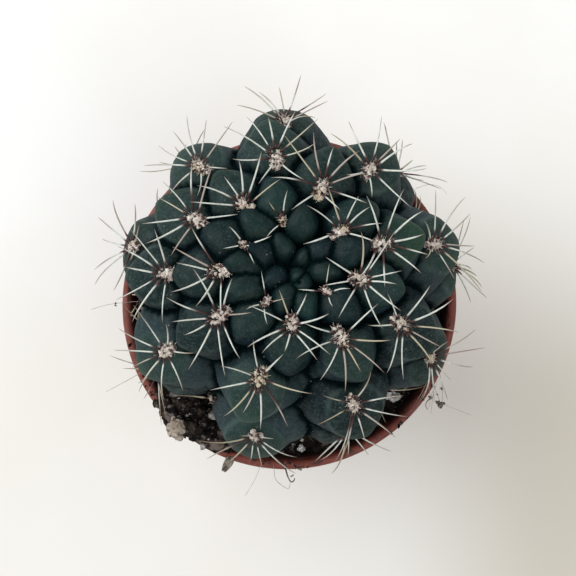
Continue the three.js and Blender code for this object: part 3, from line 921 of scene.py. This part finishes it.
# %% The wool and scale finishes
wool_finish = layered(
    "areole_felt", 0.95, 0.15, (1500.0, 0.5, 0.16), (0.50, 0.405, 0.345), (0.85, 0.78, 0.69),
    [((150.0, 0.57, 0.05), (0.60, 0.48, 0.28), 0.5)], (1500.0, 0.16, 0.0002, 0.9),
)
finish_piece("areole_wool", wool_bed, wool_finish)
finish_piece("areole_hairs", hair_bed, wool_finish)
scale_finish = layered("dark_scale", 0.7, 0.5, (900.0,), (0.035, 0.012, 0.010), (0.11, 0.04, 0.03))
finish_piece("areole_scales", scale_bed, scale_finish)

# %% [markdown]
# ## The nursery pot
# A thin moulded pot: a flat foot with drain holes, a taper, and a collar with a rounded rim. It is a turned
# shape, so its profile is spun once round. The holes are cut with a boolean.

# %% Spin the pot
POT = SimpleNamespace(
    height=65, rim_radius=42.5, rim_inside=40.2, collar_top=64, collar_foot=55, collar_step=1.9, wall=1.5,
    foot_radius=30, floor_top=2.2, holes=6, hole_radius=3, hole_circle=17,
)


def inside_at(z):
    inner_foot = POT.foot_radius - POT.wall
    return inner_foot + (z - POT.floor_top) * (POT.rim_inside - inner_foot) / (POT.collar_top - POT.floor_top)


def outside_at(z):
    return inside_at(z) + POT.wall


under_collar = POT.collar_foot - 1
neck = outside_at(under_collar)
collar = neck + POT.collar_step
lip = (POT.rim_radius - POT.rim_inside) / 2
lip_middle = POT.rim_inside + lip
lip_arc = [(lip_middle + lip * cos(a), POT.collar_top + sin(a)) for a in np.linspace(0, pi, 9)]
pot = lathed(
    [(0, 0), (12, 0), (22, 0)]
    + [(POT.foot_radius - 0.9, 0), (POT.foot_radius - 0.3, 0.25), (POT.foot_radius, 0.9)]
    + [(outside_at(z), z) for z in (8, 18, 28, 38, 47, under_collar - 0.8)]
    + [(neck + 0.15, under_collar - 0.1), (neck + 0.5, under_collar + 0.25)]
    + [(collar - 0.4, POT.collar_foot - 0.2), (collar - 0.05, POT.collar_foot + 0.15)]
    + [(collar + 0.1, POT.collar_foot + 0.7), (POT.rim_radius - 0.25, 60)]
    + lip_arc
    + [(inside_at(z), z) for z in (58, 48, 38, 28, 18, 8, POT.floor_top + 0.6)]
    + [(out, POT.floor_top) for out in (inside_at(POT.floor_top) - 0.5, 22, 12, 0)],
    144,
)

# %% Cut the drain holes
drills = bmesh.new()
for k in range(POT.holes):
    a = k * tau / POT.holes
    where = Matrix.Translation((POT.hole_circle * cos(a), POT.hole_circle * sin(a), POT.floor_top / 2))
    bmesh.ops.create_cone(
        drills, cap_ends=True, segments=28, radius1=POT.hole_radius, radius2=POT.hole_radius,
        depth=3 * POT.floor_top, matrix=where,
    )
drill = bpy.data.objects.new("pot_drill", kept_mesh(drills, "pot_drill"))
scene.collection.objects.link(drill)
pot = modified(pot, "BOOLEAN", operation="DIFFERENCE", object=drill, solver="EXACT")
bpy.data.objects.remove(drill)
print("pot faces:", len(pot.faces), "with", POT.holes, "drain holes")

# %% [markdown]
# Thin plastic is never a perfect circle. The wall is eased by a few tenths of a millimetre, more towards the
# rim. The finish is an even terracotta red with wide faint smudges. The lip has had all the handling: it is
# mottled, worn pale in places and splashed with peat. Inside it, below a ragged line, the wall is dark brown,
# partly peat stain and partly painted shade. Dust lies at the foot.

# %% Ease the wall and mark its inside
inner_layer = pot.verts.layers.float.new("inner")
for v in pot.verts:
    bearing = atan2(v.co.y, v.co.x)
    ease = 0.22 * sin(2 * bearing + 0.6) + 0.12 * sin(3 * bearing + 2)
    share = (v.co.z / POT.height) ** 2
    v.co.x *= 1 + ease * share / POT.rim_radius
    v.co.y *= 1 + ease * share / POT.rim_radius
    out, z = hypot(v.co.x, v.co.y), v.co.z
    v[inner_layer] = float(z > POT.floor_top - 0.1 and out < inside_at(z) + POT.wall / 2)

# %% The plastic and the pot as a piece
plastic, surface, place = new_finish("pot_plastic", shine=0.3)
inner_at = carried(place, "inner")
height_up = wire(place, "SeparateXYZ", {0: place}).outputs[2]
near_lip = ramped(height_up, 0.0595, 0.0645)
foot_dust = times(ramped(height_up, 0.0, 0.009, 0.5, 0.0), patches(place, 240.0, 0.45, 0.2))
ragged_height = reckon("MULTIPLY_ADD", noise_at(place, 260.0, 4.0), 0.004, height_up)
stain_and_shade_below_lip = ramped(ragged_height, 0.0642, 0.0656, 1.0, 0.0)
splash = times(ramped(height_up, 0.050, 0.064), patches(place, 480.0, 0.58, 0.04))
colour = over(
    mixed(patches(place, 60.0, 0.5, 0.25), (0.150, 0.029, 0.020), (0.205, 0.043, 0.028)),
    [(0.24, 0.072, 0.052), near_lip, 0.25],
    [(0.075, 0.020, 0.016), near_lip, patches(place, 620.0, 0.5, 0.07), 0.35],
    [(0.26, 0.105, 0.078), patches(place, 45.0, 0.56, 0.16), 0.3],
    [(0.31, 0.13, 0.10), near_lip, patches(place, 330.0, 0.57, 0.06), 0.28],
    [(0.20, 0.13, 0.10), foot_dust],
    # inside the pot, below a ragged line: one dark colour that is partly peat stain and partly painted shade
    [(0.030, 0.016, 0.012), ramped(inner_at, 0.3, 0.9), stain_and_shade_below_lip, 0.9],
    [(0.040, 0.024, 0.019), splash, ramped(inner_at, 0.0, 0.6, 0.2, 1.0), 0.8],
)
painted(surface, colour)
scuffs = patches(place, 500.0)
feed(surface, "Roughness", ramped(scuffs, 0.0, 1.0, 0.42, 0.62))
bumped(surface, scuffs, 0.00005, 0.4)
nursery_pot = finish_piece("nursery_pot", pot, plastic, ["pot"])
with bpy.context.temp_override(object=nursery_pot, active_object=nursery_pot, selected_objects=[nursery_pot]):
    bpy.ops.object.shade_smooth_by_angle(angle=radians(38))

# %% [markdown]
# ## The potting mix
# Dark peat with grit, heaped against the rim at the near left. The cake is turned like the pot, then its top
# is lifted by the same slow waves and heap as the solid has, and roughened with noise down to crumb size.

# %% The height of the mix
SOIL = SimpleNamespace(
    level=59.5, ripple=0.5, heap_bearing=radians(222), heap_height=4.5, heap_spread=radians(26),
)
GAP = 0.3


def soil_height(x, y):
    bearing, out = atan2(x, y), hypot(x, y) / POT.rim_inside
    off = abs(remainder(bearing - SOIL.heap_bearing, tau))
    heap = SOIL.heap_height * exp(-((off / SOIL.heap_spread) ** 2)) * max(0, out - 0.55) / 0.45
    ripple = sin(x * 0.55 + 1) * cos(y * 0.5 - 2) + 0.6 * sin(x * 1.1 - y * 0.8)
    return SOIL.level + heap + SOIL.ripple * ripple


def top_of_mix(x, y):
    """The height of the mix with the crumb-sized roughness of its top."""
    at = Vector((x, y, 0))
    rough = 0.8 * noise.noise(at * 0.45) + 0.55 * noise.noise(at * 1.1) + 0.3 * noise.noise(at * 2.4)
    return min(soil_height(x, y) + rough, POT.collar_top + 0.2)


# %% Turn and crumble the mix
cake_radius = inside_at(SOIL.level) - GAP
cake_foot = POT.floor_top + GAP
mix = lathed(
    [(0, cake_foot), (inside_at(POT.floor_top) - GAP, cake_foot)]
    + [(inside_at(z) - GAP, z) for z in (20, 40, 57)]
    + [(cake_radius * share, SOIL.level) for share in (*np.linspace(1, 0.5, 34), 0.3, 0)],
    220,
)
for v in mix.verts:
    x, y, z = v.co
    if z > SOIL.level - 1e-3:
        out, z = hypot(x, y), top_of_mix(x, y)
        widen = (inside_at(z) - GAP) / out if out > cake_radius - 0.01 else 1
        v.co = (x * widen, y * widen, z)
peat, surface, place = new_finish("peat", 0.95, 0.2)
grit, grit_height = specks(place, 900.0, 0.35)
colour = mixed(patches(place, 500.0, 0.5, 0.2), (0.004, 0.003, 0.0024), (0.022, 0.015, 0.011))
painted(surface, over(colour, [(0.20, 0.18, 0.16), grit, 0.55]))
bumped(surface, grit_height, 0.0005, 0.8)
finish_piece("potting_mix", mix, peat, ["soil"])

# %% [markdown]
# ## Crumbs, grit and fibres
# The top of the mix is loose: crumbs of peat, pale grit, a few flakes of perlite and broken root fibres. Each
# kind is one piece made of many dented balls, half sunk in the top so that none floats. Grit and stones break
# with flat sides, so their balls are chipped by a few planes.

# %% Scatter the crumbs
crumb_dice = random.Random(21)
draw, pick = crumb_dice.uniform, crumb_dice.choice
crumb_bed, grit_bed, fibre_bed = bmesh.new(), bmesh.new(), bmesh.new()


def crumb(spot, radii, above, rough):
    kept_inside(lump(crumb_bed, LUMP, spot + UP * (radii[2] * above), radii, crumb_dice, rough))


def chip(spot, radii, above, rough=0.12):
    kept_inside(lump(grit_bed, CHIP_BALL, spot + UP * (radii[2] * above), radii, crumb_dice, rough, FLATS))


def out_and_round(bearing, out):
    return out * sin(bearing), out * cos(bearing)


def on_mix(low=0.56, high=0.985):
    """A place on the ring of mix that shows round the plant."""
    bearing = draw(0, tau)
    x, y = out_and_round(bearing, cake_radius * sqrt(draw(low * low, high * high)))
    return Vector((x, y, top_of_mix(x, y)))


def crumb_radii(size, wide=(0.7, 1.2), high=(0.5, 0.9)):
    return [size * draw(*wide) for _ in range(2)] + [size * draw(*high)]


def kept_inside(verts):
    """Pulls a crumb that touches the wall back inside it."""
    for v in verts:
        out = hypot(v.co.x, v.co.y)
        limit = inside_at(min(v.co.z, POT.collar_top)) - 0.1
        if out > limit and v.co.z < POT.height - 0.2:
            v.co.x *= limit / out
            v.co.y *= limit / out


for _ in range(900):
    radii = crumb_radii(pick((0.35, 0.5, 0.7, 1.0, 1.5)), (0.7, 1.3))
    crumb(on_mix(), radii, 0.3, 0.6)
for _ in range(300):
    radii = crumb_radii(pick((0.25, 0.35, 0.5, 0.85)))
    chip(on_mix(), radii, 0.4)

# %% [markdown]
# At the near left the mix has been spooned right over the rim. The heap there is built like a real one: large
# crumbs lie on the mix and on the rim, smaller ones rest on them, and grit has rolled to the top.

# %% Heap crumbs over the rim
HEAP_FROM, HEAP_TO, HEAP_INNER = radians(197), radians(234), 32.5
HEAP_OUTER = np.array([(0, 39.8), (0.45, 41.0), (0.6, 42.5), (1, 42.6)])  # over the rim only at its far end


def on_heap(layer):
    """A place in the heap: its layer goes from 0, on what carries it, to 1, the top."""
    swing, out = crumb_dice.random(), crumb_dice.random()
    swing = 0.5 + (swing - 0.5) * (1 - 0.25 * layer)
    outer = float(np.interp(swing, HEAP_OUTER[:, 0], HEAP_OUTER[:, 1])) - 0.9 * layer
    out = HEAP_INNER + (outer - HEAP_INNER) * sqrt(out)
    x, y = out_and_round(HEAP_FROM + (HEAP_TO - HEAP_FROM) * swing, out)
    carried_at = POT.height if out > POT.rim_inside - 0.4 else top_of_mix(x, y)
    pile = 2.3 * sin(pi * swing) ** 0.6 * min(1, (out - HEAP_INNER) / 4)
    return Vector((x, y, carried_at + layer * pile)), pile


HEAP_LAYERS = (0.0, 90, (1.1, 1.5, 2.0)), (0.45, 110, (0.8, 1.2, 1.7)), (0.9, 130, (0.4, 0.7, 1.2))
for layer, number, sizes in HEAP_LAYERS:
    for _ in range(number):
        spot, pile = on_heap(layer)
        size = pick(sizes) * (0.6 + 0.4 * min(pile / 2, 1))
        radii = crumb_radii(size, (0.75, 1.25), (0.6, 0.9))
        crumb(spot, radii, 0.35, 0.65)
for _ in range(110):
    spot, pile = on_heap(draw(0.75, 1.0))
    radii = crumb_radii(pick((0.3, 0.4, 0.55, 0.75)))
    chip(spot, radii, 0.8)

# %% Lay the larger grit one by one
LARGE_GRIT = (
    (-19.3, -28.3, 1.7), (-23.4, -29.8, 1.15), (-21.3, -32.1, 1.0), (-25.3, -24.6, 1.1), (-29.4, -23.2, 1.2),
    (-15.4, -35.6, 0.9), (-21.6, -36.4, 1.3),
)
for x, y, size in LARGE_GRIT:
    spot = Vector((x, y, top_of_mix(x, y) + 1.2 + size * 0.3))
    chip(spot, (size, size * 0.8, size * 0.7), 0, 0.3)

# %% Sprinkle the rim
for _ in range(44):
    bearing = radians(pick((178, 238, 242, 128)) + crumb_dice.gauss(0, 9))
    out = draw(POT.rim_inside + 0.2, POT.rim_radius - 0.25)
    on_lip = POT.collar_top + sqrt(max(0, 1 - ((out - lip_middle) / lip) ** 2))
    size = pick((0.14, 0.2, 0.28, 0.4))
    spot = Vector((*out_and_round(bearing, out), on_lip + size * 0.15))
    lump(crumb_bed, LUMP, spot, (size * 1.5, size * 0.8, size * 0.5), crumb_dice, 0.8)

# %% Lay the root fibres
for _ in range(120):
    middle = on_mix(0.6, 0.93)
    bearing, length = draw(0, tau), draw(1.5, 4)
    half = Vector((cos(bearing), sin(bearing), 0)) * length / 2
    ends = [middle - half, middle + half]
    for end in ends:
        end.z = top_of_mix(end.x, end.y) + 0.15
    verts = add_copy(fibre_bed, HAIR)
    bend(verts, ends[0], middle + UP * 0.6, ends[1], HAIR_THICKNESS * (1, 2.4))
    kept_inside(verts)

# %% The crumb, grit and fibre finishes
crumb_finish = layered(
    "peat_crumb", 0.95, 0.2, (330.0, 0.54, 0.07), (0.0035, 0.0024, 0.002), (0.024, 0.016, 0.0125),
    [
        ((210.0, 0.60, 0.04), (0.17, 0.135, 0.115), 0.85),
        ((330.0, 0.62, 0.05), (0.075, 0.056, 0.040), 0.5),
        ((1000.0, 0.62, 0.06), (0.20, 0.17, 0.15), 0.5),
    ],
    (1500.0, 0.3, 0.0002, 0.8),
)
grit_finish = layered(
    "pale_grit", 0.85, 0.3, (240.0, 0.55, 0.08), (0.13, 0.115, 0.105), (0.52, 0.49, 0.46),
    [((1300.0, 0.62, 0.06), (0.08, 0.06, 0.05))], (1800.0, 0.3, 0.00015, 0.8),
)
root_finish = layered("root_fibre", 0.9, 0.5, (300.0,), (0.06, 0.035, 0.02), (0.25, 0.17, 0.10))
finish_piece("peat_crumbs", crumb_bed, crumb_finish)
finish_piece("grit", grit_bed, grit_finish, smooth=False)
finish_piece("root_fibres", fibre_bed, root_finish)

# %% [markdown]
# ## Stones
# Two crumbly chips of white perlite lie on the mix, and a tan clump of crusted soil has been pushed onto the
# rim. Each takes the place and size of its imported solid. Perlite and crust are both clusters, so a chip is
# several chipped balls grown into each other and joined by a fine voxel remesh, then roughened.

# %% Perlite and the tan clump
cluster_dice = random.Random(8)


def crumbly(name, node, finish, parts, grain, reach=1.0):
    low, high = (Vector(corner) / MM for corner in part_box(node))
    centre, half = (low + high) / 2, (high - low) / 2 * reach
    cluster = bmesh.new()
    lump(cluster, CLUSTER_BALL, Vector(), [0.72] * 3, cluster_dice, 0.12, FLATS)
    for _ in range(parts):
        way = thrown(cluster_dice.gauss, 0, 1).normalized()
        size = cluster_dice.uniform(0.22, 0.45)
        lump(cluster, CLUSTER_BALL, way * (0.98 - size), [size] * 3, cluster_dice, 0.12, FLATS)
    built = modified(cluster, "REMESH", mode="VOXEL", voxel_size=0.045)
    for v in built.verts:
        b = v.co.copy()
        rough = noise.noise(b * 4 + centre) + 0.8 * noise.noise(b * 10 + centre)
        rough += 0.4 * noise.noise(b * 22 + centre)
        v.co = centre + b * (1 + grain * rough) * half
    finish_piece(name, built, finish, [node])


perlite_finish = layered(
    "perlite", 0.9, 0.3, (600.0, 0.45, 0.15), (0.36, 0.34, 0.31), (0.80, 0.79, 0.76),
    [((1100.0, 0.6, 0.06), (0.10, 0.08, 0.07), 0.7)], (1600.0, 0.3, 0.0003, 0.8),
)
tan_finish = layered(
    "tan_clump", 0.95, 0.2, (350.0, 0.5, 0.2), (0.30, 0.24, 0.185), (0.53, 0.45, 0.37),
    [((900.0, 0.56, 0.06), (0.09, 0.06, 0.04), 0.75)], (1400.0, 0.3, 0.0003, 0.9),
)
crumbly("perlite_chip_right", "perlite_right", perlite_finish, 7, 0.12, 1.12)
crumbly("perlite_chip_front", "perlite_front", perlite_finish, 5, 0.14)
crumbly("tan_clump", "stone_tan", tan_finish, 8, 0.06, 1.12)

# %% [markdown]
# ## Dry litter
# A plant that is handled collects litter: a curled husk hooked on the rim, dried rootlets that stick out over
# it, and the threads of an old flower, with crumbs in them, caught on the low spines at the right. A thread
# is one long thin template laid along a smooth curve through a few points. Every thread starts on the rim, in
# the wool or on another thread.

# %% How a thread is laid
STRAND = awl_template(5, 0.6, np.linspace(0.06, 0.94, 15))


def along_curve(points, t):
    """A place on the smooth curve through the points, for t from 0 to 1."""
    spans = len(points) - 1
    k = min(int(t * spans), spans - 1)
    u = t * spans - k
    before, here, there, after = (points[min(max(k + step, 0), spans)] for step in (-1, 0, 1, 2))
    bow = (2 * before - 5 * here + 4 * there - after) * u**2 + (3 * here - 3 * there + after - before) * u**3
    return 0.5 * (2 * here + (there - before) * u + bow)


def lay_thread(built, points, radius):
    points = [Vector(p) for p in points]
    for v in add_copy(built, STRAND):
        t = min(max(v.co.z, 0), 1)
        heading = (along_curve(points, min(t + 0.03, 1)) - along_curve(points, max(t - 0.03, 0))).normalized()
        side = heading.cross(Vector((0.2, 0.3, 1))).normalized()
        v.co = along_curve(points, t) + (side * v.co.x + heading.cross(side) * v.co.y) * radius


# %% Lay the threads
thread_bed, bit_bed = bmesh.new(), bmesh.new()
THREADS = (  # the radius of each and the points it runs through
    (0.07, (-37.6, 0.6, 64.6), (-41.6, 0.3, 65.2), (-46, -0.3, 66.2), (-50.2, -1.5, 65.4)),
    (0.07, (-36.6, -17.0, 66.6), (-41.2, -19.6, 66.2), (-46.7, -22.5, 64.5)),
    (0.06, (-7.0, -40.2, 64.6), (-7.6, -42.2, 65.2), (-8.8, -45.0, 65.0), (-11.2, -49.2, 63.2)),
    (0.075, (-4.1, -40.2, 64.5), (-3.8, -42.2, 65.2), (-3.2, -45.0, 65.1), (-0.3, -47.2, 64.6),
     (0.3, -45.9, 64.2)),
    (0.24, (-1.2, -41.0, 65.0), (-0.7, -42.6, 65.3), (-0.2, -44.2, 65.1), (0.5, -45.4, 64.8),
     (1.3, -45.1, 64.7), (1.4, -44.5, 64.9)),
    (0.09, (36.4, -14.8, 70.6), (34.6, -20.2, 67.8), (32.6, -24.4, 66.0), (31.0, -27.4, 65.3)),
    (0.08, (36.8, -15.0, 70.4), (35.2, -20.4, 67.8), (33.3, -24.2, 66.2), (31.6, -27.6, 65.2)),
    (0.06, (37.2, -15.2, 70.4), (38.4, -20.4, 69.4), (38.7, -25.0, 67.6)),
    (0.06, (37.0, -15.6, 70.2), (36.3, -22.6, 68.2), (36.0, -28.0, 66.4)),
    (0.05, (38.5, -25.2, 67.4), (42.0, -26.6, 67.6), (46.2, -28.3, 66.4)),
    (0.07, (36.6, -15.4, 70.3), (36.2, -19.4, 68.8), (37.4, -23.0, 68.2), (38.2, -25.0, 67.6)),
    (0.07, (36.2, -15.6, 70.2), (34.9, -18.4, 68.6), (35.4, -21.8, 67.6), (35.8, -23.6, 67.2)),
    (0.06, (36.9, -15.4, 70.4), (36.9, -20.6, 69.2), (35.9, -22.8, 68.0), (35.4, -26.4, 66.8)),
    (0.16, (35.8, -23.8, 67.2), (34.9, -24.9, 66.6), (34.7, -26.0, 66.2), (35.2, -26.9, 66.0)),
    (0.05, (31.4, 28.6, 73.6), (34.4, 29.4, 75.4), (37.2, 28.8, 75.8), (39.0, 27.0, 75.0)),
)
for radius, *points in THREADS:
    lay_thread(thread_bed, points, radius)

# %% Hang crumbs in them
BITS = (  # where a cluster of bits hangs, its size and how many they are
    ((37.9, -25.2, 67.5), 0.62, 9), ((35.7, -23.7, 67.2), 0.45, 6), ((38.5, -21.4, 69.1), 0.28, 4),
    ((37.2, -22.8, 68.4), 0.24, 3), ((-44.0, 0.0, 65.8), 0.32, 3), ((0.8, -43.7, 65.2), 0.3, 4),
    ((2.8, -42.0, 65.1), 0.34, 7), ((-39.9, -3.0, 65.2), 0.3, 5),
)
for hung_at, size, number in BITS:
    for _ in range(number):
        drift = Vector([crumb_dice.gauss(0, 0.55) * size for _ in range(3)])
        girth = size * draw(0.45, 1.1)
        lump(bit_bed, LUMP, Vector(hung_at) + drift, (girth, girth * 0.7, girth * 0.6), crumb_dice, 0.7)

# %% Curl a husk over the rim
husk = bmesh.new()
bmesh.ops.create_grid(husk, x_segments=12, y_segments=8, size=1)
held, free = Vector((-14.6, -39.0, 65.4)), Vector((-16.7, -42.7, 64.6))
heading = (free - held).normalized()
side = heading.cross(UP).normalized()
for v in husk.verts:
    u, w = v.co.x, v.co.y
    half = 0.15 + 0.95 * sqrt(max(0, 1 - (0.8 * u) ** 2)) * (1 - 0.35 * u)
    wrinkle = 0.18 * noise.noise(Vector((u * 2.2, w * 1.6, 4.0)))
    cup = 1.05 * w * w * half + 0.35 * sin(2.6 * u + 0.6) + wrinkle
    v.co = held.lerp(free, (u + 1) / 2) + side * w * half + UP * cup
bmesh.ops.recalc_face_normals(husk, faces=husk.faces)
bmesh.ops.solidify(husk, geom=husk.faces[:], thickness=0.14)
add_copy(bit_bed, kept_mesh(husk, "husk"))

# %% The dry finishes
thread_finish = layered(
    "dry_thread", 0.85, 0.2, (220.0, 0.5, 0.12), (0.13, 0.08, 0.065), (0.46, 0.39, 0.33), (),
    (1500.0, 0.3, 0.00005, 0.6),
)
bit_finish = layered(
    "dry_husk", 0.9, 0.2, (420.0, 0.5, 0.1), (0.10, 0.083, 0.066), (0.29, 0.25, 0.20),
    [((1200.0, 0.56, 0.05), (0.42, 0.39, 0.34), 0.7)], (1300.0, 0.3, 0.0001, 0.7),
)
finish_piece("dry_threads", thread_bed, thread_finish)
finish_piece("dry_husks", bit_bed, bit_finish)
